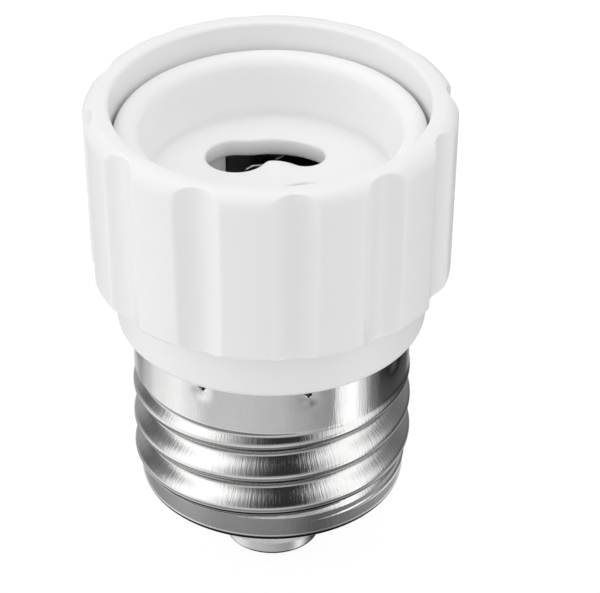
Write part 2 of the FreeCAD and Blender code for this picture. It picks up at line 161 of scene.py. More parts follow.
STRIP = 0.3
STRIP_EASE = 0.06
STRIP_HEIGHT = 4.8
STRIP_GAP = 0.2
STRIP_BEND = 0.6
LEAF_OFFSET = 1.6
LEAF_CREST = (1.75, 7.15)
LEAF_BUMP = (3.2, 5.95)
LEAF_CURL = (-1.75, 6.75)
LEAF_END = (-2.35, 6.1)
SPINE_OFFSET = 0.04
SPINE_GAP = 0.02
TONGUE_X = 1.3
TONGUE_LENGTH = 1.2
TONGUE_RISE = 0.2
TAIL_X = -2.7
TAIL_WIDTH = 1.8
TAIL_DROP = 3.3
TAIL_LAP = 0.5

# Where the finishes and the painted shade change over the surface.
PIT_SHADE_RADIUS = 12.75
PIT_SHADE_BOTTOM = 23.5
STREAKS_CALM_FROM = 20.4
STREAKS_CALM_TO = 21.4
POCKET_SHADE_TOP = 38.6
POCKET_SHADE_RADIUS = 10.7

RAMP_REACH = 60.0
FLOOR_HALF = 600.0
FOCAL_PX = 3538.77
FRAME_WIDTH_PX = 600


def smooth(x):
    """Smooth step: 0 below 0, 1 above 1, and 3x^2 - 2x^3 between."""
    x = np.clip(x, 0, 1)
    return x * x * (3 - 2 * x)


def smooth_min(a, b, k):
    """Lesser of a and b, blended over a distance k where they are near each other."""
    h = np.clip(0.5 + 0.5 * (b - a) / k, 0, 1)
    return b + (a - b) * h - k * h * (1 - h)


def around(count):
    """Angles of a full turn, the first not repeated."""
    return np.arange(count) * (2 * math.pi / count)


def line_points(a, b, count):
    """Points evenly spaced from a to b, without b."""
    t = np.arange(count)[:, None] / count
    return np.asarray(a) + (np.asarray(b) - np.asarray(a)) * t


def corner_line(*corners):
    """Straight runs through corners (radius, z, points to the next corner), without the last."""
    runs = [line_points(a[:2], b[:2], a[2]) for a, b in zip(corners, corners[1:])]
    return np.concatenate(runs)


def arc_points(centre, radius, start, end, count):
    """Points on a circle from one angle to another, in degrees, without the last."""
    a = np.radians(start + (end - start) * np.arange(count) / count)
    return np.stack([centre[0] + radius * np.cos(a), centre[1] + radius * np.sin(a)], 1)


def turned(radius, angle, z):
    """Points at a radius, an angle about the Z axis and a height."""
    return np.stack([radius * np.cos(angle), radius * np.sin(angle), z + 0 * angle], -1)


def revolve(profile, count):
    """Surface of revolution: each profile point (radius, z) carried round the Z axis."""
    return turned(profile[:, :1], around(count)[None, :], profile[:, 1:])


def grid_faces(rows, columns, wrap_rows, wrap_columns):
    """Quads of a grid of points, as indices; either way round may close on itself."""
    i = np.arange(rows if wrap_rows else rows - 1)
    j = np.arange(columns if wrap_columns else columns - 1)
    i, j = np.meshgrid(i, j, indexing="ij")
    ni, nj = (i + 1) % rows, (j + 1) % columns
    corners = [i * columns + j, i * columns + nj, ni * columns + nj, ni * columns + j]
    return np.stack(corners, -1).reshape(-1, 4)


def mesh_piece(name, parts, weld=0.0, crease=50):
    """One object from several (points, faces) pairs; faces point outwards, close points welded.

    Edges that bend by more than the crease, in degrees, stay sharp in the shading.
    """
    points, faces, base = [], [], 0
    for part_points, part_faces in parts:
        points.append(part_points.reshape(-1, 3))
        faces.extend((part_faces + base).tolist())
        base += len(points[-1])
    mesh = bpy.data.meshes.new(name)
    mesh.from_pydata((np.concatenate(points) * MM).tolist(), [], faces)
    piece = bpy.data.objects.new(name, mesh)
    bpy.context.scene.collection.objects.link(piece)
    work = bmesh.new()
    work.from_mesh(mesh)
    if weld:
        bmesh.ops.remove_doubles(work, verts=work.verts, dist=weld * MM)
    bmesh.ops.recalc_face_normals(work, faces=work.faces)
    work.to_mesh(mesh)
    work.free()
    mesh.shade_smooth()
    mesh.set_sharp_from_angle(angle=math.radians(crease))
    return piece


def shell_radius(angle, z):
    """Outer radius of the rolled shell at an angle and height.

    The crest climbs one pitch a turn, right-handed; the groove between crests is a cosine
    with some second harmonic, which makes the crest broader than the root, as rolled sheet
    has it outside, and it fades in below the band. A cone that opens upwards holds the lowest
    turn down. The plain foot is a cylinder that falls away above its land by two parabolas,
    a flat one and then a steep one, and the greater of thread and foot is kept.
    """
    phase = 2 * math.pi * (z - CREST_HEIGHT_FRONT) / THREAD_PITCH - (angle + math.pi / 2)
    wave = np.cos(phase) + CREST_BREADTH * (1 - np.cos(2 * phase))
    crest = BAND_RADIUS + (CREST_RADIUS - BAND_RADIUS) * smooth((SWELL_TOP - z) / SWELL_RUN)
    groove = THREAD_DEPTH * smooth((GROOVE_TOP - z) / GROOVE_RUN_IN) * (1 - wave) / 2
    cone = FOOT_RADIUS + TAPER_RISE * (z - TAPER_START) + 0 * angle
    thread = smooth_min(crest - groove, cone, FOOT_BLEND)
    above_land = np.maximum(z - FOOT_LAND_TOP, 0) + 0 * angle
    fall = FOOT_FALL * np.maximum(above_land - FOOT_TURN, 0) ** 2
    foot = FOOT_RADIUS - FOOT_EASE * above_land ** 2 - fall
    return -smooth_min(-thread, -foot, FOOT_BLEND)


def stake_push(angle, z):
    """Inward push of the stakes: a three-sided pit, point down, in a wider shallow dent."""
    step = 2 * math.pi / STAKES
    side = (angle - STAKE_FIRST + step / 2) % step - step / 2
    s = side * BAND_RADIUS
    h = z - STAKE_HEIGHT
    slant = STAKE_WIDTH / 2 / STAKE_TALL
    lower = (h + STAKE_TALL / 2) * slant - np.abs(s)
    upper = STAKE_TALL / 2 - h
    pit = smooth(np.minimum(lower / STAKE_SIDE_EDGE, upper / STAKE_TOP_EDGE))
    dent = np.exp(-((s / DENT_HALF_WIDTH) ** 2 + ((h + DENT_DROP) / DENT_HALF_TALL) ** 2))
    return STAKE_DEEP * pit + DENT_DEEP * dent


def screw_shell():
    """Rolled shell: shell_radius less stake_push outside, and one sheet's thickness within.

    The outside runs down the band and thread, round the foot and in to the bore, and the
    inside runs back up. The columns of points lie closer together at the stakes.
    """
    foot = SHELL_BOTTOM + FOOT_ROLL
    roll_radius = FOOT_RADIUS - FOOT_ROLL
    count = 384
    u = around(count)
    a = (u - STAKE_CROWDING / STAKES * np.sin(STAKES * (u - STAKE_FIRST)))[None, :]
    z = np.concatenate([
        np.linspace(SHELL_TOP, STAKE_ROWS_BOTTOM, 24, endpoint=False),
        np.linspace(STAKE_ROWS_BOTTOM, BAND_BOTTOM, 14, endpoint=False),
        np.linspace(BAND_BOTTOM, foot, 116, endpoint=False),
    ])[:, None]
    rim = smooth((z - (SHELL_TOP - SHELL_RIM)) / SHELL_RIM) * SHELL_RIM_EASE
    outside = turned(shell_radius(a, z) - stake_push(a, z) - rim, a, z)
    low = np.concatenate([
        arc_points((roll_radius, foot), FOOT_ROLL, 0, -90, 12),
        corner_line((roll_radius, SHELL_BOTTOM, 3), (FOOT_BORE, SHELL_BOTTOM, 2),
                    (FOOT_BORE, SHELL_BOTTOM + SHEET, 2), (roll_radius, SHELL_BOTTOM + SHEET)),
        arc_points((roll_radius, foot), FOOT_ROLL - SHEET, -90, 0, 6),
    ])
    inner_z = np.linspace(foot, SHELL_TOP, 60)[:, None]
    inside = turned(shell_radius(a, inner_z) - SHEET, a, inner_z)
    points = np.concatenate([outside, turned(low[:, :1], a, low[:, 1:]), inside])
    return mesh_piece("screw_shell_rolled", [(points, grid_faces(len(points), count, True, True))])


def flute_surface(angle, z):
    """Radius of the flutes' hollows: a parabola across each, its lowest line along the taper."""
    step = 2 * math.pi / FLUTES
    side = (angle - FLUTE_FIRST + step / 2) % step - step / 2
    rise = (z - RING_BOTTOM) / (RING_TOP - RING_BOTTOM)
    taper = RING_BOTTOM_RADIUS + (RING_TOP_RADIUS - RING_BOTTOM_RADIUS) * rise
    s = side * taper
    bend = (FLUTE_WIDTH ** 2 / 4 + FLUTE_DEPTH ** 2) / (2 * FLUTE_DEPTH)
    return taper - FLUTE_DEPTH + s * s / (2 * bend)


def fluted_ring():
    """Closed profile of the ring carried round the axis, less the flutes where they lie deeper."""
    low = RING_BOTTOM_RADIUS - RING_BOTTOM_ROUND
    high = RING_TOP_RADIUS - RING_TOP_ROUND
    bore = RING_BORE + RING_BORE_ROUND
    side_low = (RING_BOTTOM_RADIUS, RING_BOTTOM + RING_BOTTOM_ROUND)
    side_high = (RING_TOP_RADIUS, RING_TOP - RING_TOP_ROUND)
    profile = np.concatenate([
        corner_line((RING_FLANGE_BORE, RING_BOTTOM, 4),
                    (low - RING_FOOT_LAND, RING_BOTTOM, 5), (low, RING_BOTTOM)),
        arc_points((low, side_low[1]), RING_BOTTOM_ROUND, -90, 0, 16),
        line_points(side_low, side_high, 40),
        arc_points((high, side_high[1]), RING_TOP_ROUND, 0, 90, 28),
        line_points((high, RING_TOP), (bore, RING_TOP), 4),
        arc_points((bore, RING_TOP - RING_BORE_ROUND), RING_BORE_ROUND, 90, 180, 8),
        corner_line((RING_BORE, RING_TOP - RING_BORE_ROUND, 8), (RING_BORE, RING_FLANGE_TOP, 3),
                    (RING_FLANGE_BORE, RING_FLANGE_TOP, 3), (RING_FLANGE_BORE, RING_BOTTOM)),
    ])
    count = FLUTES * 44
    angle = around(count)[None, :] + FLUTE_FIRST
    r, z = profile[:, :1], profile[:, 1:]
    radius = smooth_min(r + 0 * angle, flute_surface(angle, z), LOBE_BLEND)
    radius = np.where(r < bore, r, radius)
    points = turned(radius, angle, z)
    return mesh_piece("fluted_ring_moulded", [(points, grid_faces(len(points), count, True, True))])


def entry_distance(x, y):
    """Distance from the middle of one keyhole's entry circle."""
    return np.hypot(x - PIN_CIRCLE * math.cos(ENTRY_ANGLE), y - PIN_CIRCLE * math.sin(ENTRY_ANGLE))


def keyhole_distance(x, y):
    """Distance outside one keyhole's outline: its entry circle blended with a curved slot."""
    on_arc = np.clip(np.arctan2(y, x), SLOT_END_ANGLE, ENTRY_ANGLE)
    slot = np.hypot(x - PIN_CIRCLE * np.cos(on_arc), y - PIN_CIRCLE * np.sin(on_arc))
    return smooth_min(entry_distance(x, y) - ENTRY_RADIUS, slot - SLOT_WIDTH / 2, KEYHOLE_BLEND)


def pocket_distance(x, y):
    """Distance outside the pocket's outline: the entry circle joined with a round-cornered box."""
    entry = entry_distance(x, y) - ENTRY_RADIUS - POCKET_RELIEF
    corner = POCKET_CORNER
    dx = np.abs(x - (POCKET_LEFT + POCKET_RIGHT) / 2) - (POCKET_RIGHT - POCKET_LEFT) / 2 + corner
    dy = np.abs(y - (POCKET_FRONT + POCKET_REAR) / 2) - (POCKET_REAR - POCKET_FRONT) / 2 + corner
    beyond = np.hypot(np.maximum(dx, 0), np.maximum(dy, 0))
    return np.minimum(entry, beyond + np.minimum(np.maximum(dx, dy), 0) - corner)


def ray_reach(distance, centre, direction, longest):
    """Length along each ray from a centre to where a distance turns positive, by halving."""
    low = np.zeros(len(direction))
    high = np.full(len(direction), longest)
    for _ in range(40):
        middle = (low + high) / 2
        p = centre + direction * middle[:, None]
        inside = distance(p[:, 0], p[:, 1]) < 0
        low = np.where(inside, middle, low)
        high = np.where(inside, high, middle)
    return low


def rays_to(points):
    """Unit directions from the keyhole's middle to plan points."""
    ray = points - KEYHOLE_MIDDLE
    return ray / np.linalg.norm(ray, axis=1)[:, None]


def at_height(plan, height):
    """Plan points lifted to one height."""
    return np.column_stack([plan, np.full(len(plan), height)])


def half_floor():
    """Rear half of the insert's floor, one keyhole's wall, its pocket, and the block's underside.

    Rays run from the keyhole's middle to points on a half disc. Each ring of the grid lies at
    one share of every ray: floor, rounded edge, wall, underside of the floor, pocket wall and
    block bottom.
    """
    arc = np.radians(np.linspace(0, 180, 145))
    straight = np.linspace(-1, 1, 97)[1:-1]
    rim = np.concatenate([
        np.stack([np.cos(arc), np.sin(arc)], 1),
        np.stack([straight, 0 * straight], 1),
    ])
    top_edge = rim * FLOOR_FLAT_RADIUS
    low_edge = rim * BLOCK_RADIUS
    ray = rays_to(top_edge)
    hole = ray_reach(keyhole_distance, KEYHOLE_MIDDLE, ray, 9.0)[:, None]
    mouth = KEYHOLE_MIDDLE + ray * (hole + KEYHOLE_EDGE)
    rings = [at_height(top_edge + (mouth - top_edge) * t, FLOOR_TOP) for t in np.linspace(0, 1, 12)]
    for turn in np.radians(np.linspace(15, 90, 6)):
        edge = KEYHOLE_MIDDLE + ray * (hole + KEYHOLE_EDGE * (1 - math.sin(turn)))
        rings.append(at_height(edge, FLOOR_TOP - KEYHOLE_EDGE * (1 - math.cos(turn))))
    wall = KEYHOLE_MIDDLE + ray * hole
    for height in (FLOOR_TOP - 1.0, FLOOR_BOTTOM + 0.05):
        rings.append(at_height(wall, height))
    low_ray = rays_to(low_edge)
    room = ray_reach(pocket_distance, KEYHOLE_MIDDLE, low_ray, 12.0)[:, None]
    pocket = KEYHOLE_MIDDLE + low_ray * room
    for height in (FLOOR_BOTTOM, BLOCK_BOTTOM + 2.5, BLOCK_BOTTOM):
        rings.append(at_height(pocket, height))
    rings.append(at_height(low_edge, BLOCK_BOTTOM))
    points = np.stack(rings)
    return points, grid_faces(len(points), points.shape[1], False, True)


def socket_insert():
    """Lip, recess and skirt turned about the axis, with both halves of the floor let in."""
    count = 288
    lip = (INSERT_RADIUS - LIP_INNER) / 2
    lip_low = LIP_TOP - lip
    wall_lean = math.degrees(math.atan2(LIP_INNER - FLOOR_RADIUS, lip_low - FLOOR_TOP))
    fillet_centre = (FLOOR_FLAT_RADIUS, FLOOR_TOP + FLOOR_FILLET)
    profile = np.concatenate([
        arc_points(fillet_centre, FLOOR_FILLET, -90, -wall_lean, 8),
        line_points((FLOOR_RADIUS, FLOOR_TOP + FLOOR_FILLET), (LIP_INNER, lip_low), 12),
        arc_points((INSERT_RADIUS - lip, lip_low), lip, 180, 0, 28),
        corner_line((INSERT_RADIUS, lip_low, 10), (INSERT_RADIUS, RING_FLANGE_TOP, 2),
                    (SKIRT_BORE, RING_FLANGE_TOP, 4), (SKIRT_BORE, FLOOR_BOTTOM, 2),
                    (BLOCK_RADIUS, FLOOR_BOTTOM, 4), (BLOCK_RADIUS, BLOCK_BOTTOM)),
        np.array([[BLOCK_RADIUS, BLOCK_BOTTOM]]),
    ])
    sides = revolve(profile, count)
    rear, faces = half_floor()
    front = rear * np.array([-1, -1, 1])
    return mesh_piece("socket_insert_moulded", [
        (sides, grid_faces(len(sides), count, False, True)),
        (rear, faces),
        (front, faces),
    ], weld=0.002)


def base_body():
    """Conical nose, insulator, hub, collar and spigot as one closed turned profile."""
    count = 256
    seat = BAND_RADIUS - SHEET - SEAT_GAP
    hub_foot = SHELL_BOTTOM + HUB_FOOT_GAP
    seat_low = SHELL_TOP - SEAT_LENGTH
    cone = math.atan2(INSULATOR_EDGE - CONTACT_HEIGHT, INSULATOR_RADIUS - NOSE_RADIUS)
    reach = NOSE_ROUND * math.tan(cone / 2)
    nose_centre = (NOSE_RADIUS - reach, CONTACT_HEIGHT + NOSE_ROUND)
    cone_start = (NOSE_RADIUS + reach * math.cos(cone), CONTACT_HEIGHT + reach * math.sin(cone))
    collar_centre = (COLLAR_RADIUS - COLLAR_ROUND, SHELL_TOP + COLLAR_ROUND)
    profile = np.concatenate([
        line_points((SHANK_BORE, CONTACT_HEIGHT), (nose_centre[0], CONTACT_HEIGHT), 4),
        arc_points(nose_centre, NOSE_ROUND, -90, math.degrees(cone) - 90, 8),
        corner_line(
            (*cone_start, 12),
            (INSULATOR_RADIUS, INSULATOR_EDGE, 6),
            (INSULATOR_RADIUS, hub_foot, 2),
            (HUB_RADIUS - HUB_FOOT_EASE, hub_foot, 2),
            (HUB_RADIUS, hub_foot + HUB_FOOT_EASE, 4),
            (HUB_RADIUS, seat_low - SEAT_SLOPE, 2),
            (seat, seat_low, 4),
            (seat, SHELL_TOP, 3),
            (collar_centre[0], SHELL_TOP)),
        arc_points(collar_centre, COLLAR_ROUND, -90, 0, 14),
        corner_line(
            (COLLAR_RADIUS, collar_centre[1], 10),
            (COLLAR_RADIUS, RING_BOTTOM, 2),
            (SPIGOT_RADIUS, RING_BOTTOM, 3),
            (SPIGOT_RADIUS, SPIGOT_TOP, 2),
            (SPIGOT_BORE, SPIGOT_TOP, 3),
            (SPIGOT_BORE, COLLAR_INSIDE, 2),
            (HUB_CAVITY, COLLAR_INSIDE, 4),
            (HUB_CAVITY, HUB_INSIDE, 2),
            (NOSE_CAVITY, HUB_INSIDE, 2),
            (NOSE_CAVITY, NOSE_INSIDE, 2),
            (SHANK_BORE, NOSE_INSIDE, 2),
            (SHANK_BORE, CONTACT_HEIGHT)),
    ])
    points = revolve(profile, count)
    return mesh_piece("base_body_moulded", [(points, grid_faces(len(points), count, True, True))])


def centre_contact():
    """Rivet head with a slightly domed face, its shank and closed end, turned about the axis."""
    count = 128
    rim = CONTACT_RADIUS - CONTACT_ROUND
    face_edge = CONTACT_DOME + CONTACT_ROUND
    ease_radius, ease_height = CONTACT_RADIUS - CONTACT_EASE, CONTACT_HEIGHT - CONTACT_EASE
    t = np.linspace(0.02, 1, 14)[:-1]
    profile = np.concatenate([
        np.stack([rim * t, CONTACT_DOME * t ** 2], 1),
        arc_points((rim, face_edge), CONTACT_ROUND, -90, 0, 12),
        line_points((CONTACT_RADIUS, face_edge), (CONTACT_RADIUS, ease_height), 6),
        arc_points((ease_radius, ease_height), CONTACT_EASE, 0, 90, 4),
        corner_line((ease_radius, CONTACT_HEIGHT, 3), (SHANK_RADIUS, CONTACT_HEIGHT, 3),
                    (SHANK_RADIUS, TAG_TOP, 2), (RIVET_LOW_RADIUS, TAG_TOP, 3),
                    (RIVET_HIGH_RADIUS, RIVET_TOP, 3), (0.1, RIVET_TOP)),
        np.array([[0.1, RIVET_TOP]]),
    ])
    points = revolve(profile, count)
    ring = np.arange(count)[None, :]
    return mesh_piece("centre_contact_turned", [
        (points, grid_faces(len(points), count, False, True)),
        (points[:1], ring[:, ::-1]),
        (points[-1:], ring),
    ], weld=0.001)


def rounded_route(corners):
    """Plan route through corners given as (x, y, bend radius): straight runs and tangent arcs."""
    pts = [np.array(corners[0][:2])]
    for before, corner, after in zip(corners, corners[1:], corners[2:]):
        p = np.array(corner[:2])
        a = np.array(before[:2]) - p
        b = np.array(after[:2]) - p
        a /= np.linalg.norm(a)
        b /= np.linalg.norm(b)
        half = math.acos(np.clip(a @ b, -1, 1)) / 2
        centre = p + (a + b) / np.linalg.norm(a + b) * corner[2] / math.sin(half)
        reach = corner[2] / math.tan(half)
        start = p + a * reach - centre
        end = p + b * reach - centre
        first = math.atan2(start[1], start[0])
        turn = (math.atan2(end[1], end[0]) - first + math.pi) % (2 * math.pi) - math.pi
        angles = first + turn * np.linspace(0, 1, 7)
        pts.extend(centre + corner[2] * np.stack([np.cos(angles), np.sin(angles)], 1))
    pts.append(np.array(corners[-1][:2]))
    return np.array(pts)


def strip_along(route, low, high):
    """Flat strip on edge: an eased rectangle carried along a plan route, with its ends closed."""
    ease = STRIP_EASE
    tangent = np.gradient(route, axis=0)
    tangent /= np.linalg.norm(tangent, axis=1)[:, None]
    normal = np.stack([-tangent[:, 1], tangent[:, 0]], 1)
    half = STRIP / 2
    section = np.array([
        (-half, low + ease), (-half, high - ease), (-half + ease, high), (half - ease, high),
        (half, high - ease), (half, low + ease), (half - ease, low), (-half + ease, low),
    ])
    plan = route[:, None, :] + normal[:, None, :] * section[None, :, :1]
    height = np.broadcast_to(section[None, :, 1:], plan.shape[:2] + (1,))
    points = np.concatenate([plan, height], -1)
    sides = grid_faces(len(route), 8, False, True)
    end = np.arange(8)[None, :]
    return [(points, sides), (points[:1], end), (points[-1:], end)]


def contact_spring(name, side):
    """Contact strip along the pocket's rear wall, folded forward into a wavy leaf.

    A spine closes the gap over its back run, and its tongue and tail are short straight strips.
    """
    back = POCKET_REAR - STRIP_GAP - STRIP / 2
    left = POCKET_LEFT + STRIP_GAP
    right = POCKET_RIGHT - STRIP_GAP - STRIP / 2
    low, high = BLOCK_BOTTOM, BLOCK_BOTTOM + STRIP_HEIGHT
    route = rounded_route([
        (left, back), (right, back, STRIP_BEND), (right, back - LEAF_OFFSET, STRIP_BEND),
        (*LEAF_BUMP, STRIP_BEND), (*LEAF_CREST, STRIP_BEND), (*LEAF_CURL, STRIP_BEND), LEAF_END,
    ])
    reach = TONGUE_LENGTH * math.sqrt(0.5)
    front = back - SPINE_OFFSET
    spine = np.linspace((left, front), (right - STRIP_BEND, front), 4)
    tongue = np.linspace((TONGUE_X, back), (TONGUE_X - reach, back - reach), 4)
    tail = np.linspace((TAIL_X - TAIL_WIDTH / 2, back), (TAIL_X + TAIL_WIDTH / 2, back), 4)
    turn = np.array([side, side, 1])
    parts = []
    for plan, bottom, top in (
            (route, low, high),
            (spine, low + 0.2, FLOOR_BOTTOM - SPINE_GAP),
            (tongue, low, high + TONGUE_RISE),
            (tail, low - TAIL_DROP, low + TAIL_LAP)):
        parts.extend((points * turn, faces) for points, faces in strip_along(plan, bottom, top))
    return mesh_piece(name, parts, weld=0.001, crease=30)


def grey(value, warm=0.0):
    """Linear grey with a slight warmth."""
    return (value, value * (1 - warm / 2), value * (1 - warm), 1)


def feed(tree, socket, value):
    """Gives a socket a link or a plain value."""
    if isinstance(value, bpy.types.NodeSocket):
        tree.links.new(value, socket)
    else:
        socket.default_value = value


def send(tree, sockets, **values):
    """Feeds sockets by name, with _ for a space."""
    for name, value in values.items():
        feed(tree, sockets[name.replace("_", " ")], value)


def chain(tree, kind, *values, **settings):
    """Node with its settings, fed in the order of its inputs; gives its first output."""
    node = tree.nodes.new(kind)
    for name, value in settings.items():
        setattr(node, name, value)
    for socket, value in zip(node.inputs, values):
        feed(tree, socket, value)
    return node.outputs[0]


def math_node(tree, operation, *values):
    """Math on links or numbers."""
    return chain(tree, "ShaderNodeMath", *values, operation=operation)


def mix_colour(tree, factor, a, b, blend="MIX"):
    """Colour a turned into b by a factor."""
    node = tree.nodes.new("ShaderNodeMix")
    node.data_type = "RGBA"
    node.blend_type = blend
    send(tree, node.inputs, Factor=factor, A=a, B=b)
    return node.outputs["Result"]


def step_between(tree, value, start, end, low=0.0, high=1.0, form="SMOOTHSTEP"):
    """Goes from low to high while a value goes from start to end."""
    return chain(tree, "ShaderNodeMapRange", value, start, end, low, high, interpolation_type=form)


def noise(tree, place, scale, detail, roughness):
    """Noise over a place."""
    node = tree.nodes.new("ShaderNodeTexNoise")
    send(tree, node.inputs, Vector=place, Scale=scale, Detail=detail, Roughness=roughness)
    return node.outputs["Fac"]


def separate(tree, vector):
    """X, Y and Z of a vector, by name."""
    node = tree.nodes.new("ShaderNodeSeparateXYZ")
    tree.links.new(vector, node.inputs[0])
    return node.outputs


def from_axis(tree, parts):
    """Distance from the Z axis."""
    squares = [math_node(tree, "POWER", parts[name], 2.0) for name in "XY"]
    return math_node(tree, "SQRT", math_node(tree, "ADD", *squares))


def turn_share(tree, parts):
    """Compass direction as a share of a turn: 0.5 at the front, more towards +X."""
    bearing = math_node(tree, "ARCTAN2", parts["X"], math_node(tree, "MULTIPLY", parts["Y"], -1.0))
    return math_node(tree, "ADD", math_node(tree, "DIVIDE", bearing, 2 * math.pi), 0.5)


def grey_ramp(tree, share, stops, form):
    """Grey by a share from 0 to 1; stops are (share, grey)."""
    node = tree.nodes.new("ShaderNodeValToRGB")
    node.color_ramp.interpolation = form
    elements = node.color_ramp.elements
    elements.remove(elements[-1])
    for i, (position, value) in enumerate(stops):
        element = elements[0] if i == 0 else elements.new(position)
        element.position = position
        element.color = grey(value)
    tree.links.new(share, node.inputs[0])
    return node.outputs[0]


def direction_ramp(tree, share, stops):
    """Brightness by direction; stops are (degrees from the front towards +X, brightness)."""
    return grey_ramp(tree, share, [(turn / 360 + 0.5, value) for turn, value in stops], "EASE")


def radius_ramp(tree, share, stops):
    """Value by distance from the axis; stops are (millimetres, value) up to RAMP_REACH."""
    return grey_ramp(tree, share, [(reach / RAMP_REACH, value) for reach, value in stops], "LINEAR")


def group(name, inputs, outputs):
    """Empty shader node group; inputs hold default values, outputs their kinds."""
    tree = bpy.data.node_groups.new(name, "ShaderNodeTree")
    for socket, value in inputs.items():
        kind = "NodeSocketFloat" if isinstance(value, float) else "NodeSocketColor"
        tree.interface.new_socket(socket, in_out="INPUT", socket_type=kind).default_value = value
    for socket, kind in outputs.items():
        tree.interface.new_socket(socket, in_out="OUTPUT", socket_type="NodeSocket" + kind)
    source = tree.nodes.new("NodeGroupInput").outputs
    return tree, source, tree.nodes.new("NodeGroupOutput").inputs


FINISH = {"Color": "Color", "Roughness": "Float", "Height": "Float"}


def mould_skin():
    """Moulded plastic: faint cloud of tone, fine skin bump and softly uneven gloss."""
    tree, source, sink = group("mould_skin", {
        "Scale": 1.0, "Tone": grey(0.8), "Shade": grey(0.74), "Gloss": 0.35,
    }, FINISH)
    place = tree.nodes.new("ShaderNodeTexCoord").outputs["Object"]
    cloud = noise(tree, place, 90.0, 3.0, 0.5)
    grain = noise(tree, place, 2600.0, 2.0, 0.6)
    flow = noise(tree, place, 420.0, 2.0, 0.5)
    clouded = math_node(tree, "MULTIPLY", cloud, source["Scale"])
    uneven = math_node(tree, "MULTIPLY", flow, 0.12)
    low = math_node(tree, "MULTIPLY", flow, 0.6)
    send(tree, sink,
         Color=mix_colour(tree, clouded, source["Tone"], source["Shade"]),
         Roughness=math_node(tree, "ADD", source["Gloss"], uneven),
         Height=math_node(tree, "ADD", grain, low))
    return tree


def pocket_shade():
    """Darkens a colour in the contact pockets: below a height, within a radius, in metres."""
    tree, source, sink = group("pocket_shade", {
        "Color": grey(0.8), "Height": POCKET_SHADE_TOP * MM, "Radius": POCKET_SHADE_RADIUS * MM,
        "Dark": grey(0.16),
    }, {"Color": "Color"})
    parts = separate(tree, tree.nodes.new("ShaderNodeTexCoord").outputs["Object"])
    low = math_node(tree, "LESS_THAN", parts["Z"], source["Height"])
    near = math_node(tree, "LESS_THAN", from_axis(tree, parts), source["Radius"])
    sideways = math_node(tree, "MULTIPLY", parts["X"], math_node(tree, "SIGN", parts["Y"]))
    boxed = math_node(tree, "GREATER_THAN", sideways, (POCKET_LEFT + 0.01) * MM)
    shaded = math_node(tree, "MULTIPLY", low, math_node(tree, "MULTIPLY", near, boxed))
    send(tree, sink, Color=mix_colour(tree, shaded, source["Color"], source["Dark"]))
    return tree


def rolled_marks_and_painted_shade():
    """Rolled metal: fine streaks, calmer on the band, uneven gloss and a cloudy film.

    Painted shade turns it dark under the crests and in the stakes' pits.
    """
    tree, source, sink = group("rolled_marks_and_painted_shade", {
        "Tone": (0.8, 0.79, 0.77, 1), "Film": (0.6, 0.59, 0.57, 1), "Gloss": 0.12,
        "Streak": 0.1, "PaintedShade": 0.0,
    }, FINISH)
    place = tree.nodes.new("ShaderNodeTexCoord").outputs
    parts = separate(tree, place["Object"])
    angle = math_node(tree, "ARCTAN2", parts["Y"], parts["X"])
    cylinder = chain(tree, "ShaderNodeCombineXYZ", math_node(tree, "COSINE", angle),
                     math_node(tree, "SINE", angle), math_node(tree, "MULTIPLY", parts["Z"], 10.0))
    streaks = noise(tree, cylinder, 60.0, 3.0, 0.65)
    cloud = noise(tree, place["Object"], 260.0, 3.0, 0.6)
    film = math_node(tree, "MULTIPLY", cloud, streaks)
    colour = mix_colour(tree, film, source["Tone"], source["Film"])
    # Painted shade: down-facing slopes under the crests and the stakes' pits turn dark.
    facing = separate(tree, place["Normal"])["Z"]
    below = step_between(tree, facing, -0.12, -0.50)
    not_flat = step_between(tree, facing, -0.97, -0.80)
    groove = math_node(tree, "MULTIPLY", below, not_flat)
    deep = math_node(tree, "LESS_THAN", from_axis(tree, parts), PIT_SHADE_RADIUS * MM)
    high = math_node(tree, "GREATER_THAN", parts["Z"], PIT_SHADE_BOTTOM * MM)
    dark = math_node(tree, "MAXIMUM", groove, math_node(tree, "MULTIPLY", deep, high))
    painted_shade_mask = math_node(tree, "MULTIPLY", dark, source["PaintedShade"])
    rough = math_node(tree, "MULTIPLY", streaks, source["Streak"])
    calm = step_between(tree, parts["Z"], STREAKS_CALM_FROM * MM, STREAKS_CALM_TO * MM,
                        1.0, 0.35, "LINEAR")
    send(tree, sink,
         Color=mix_colour(tree, painted_shade_mask, colour, grey(0.05)),
         Roughness=math_node(tree, "ADD", source["Gloss"], rough),
         Height=math_node(tree, "MULTIPLY", streaks, calm))
    return tree


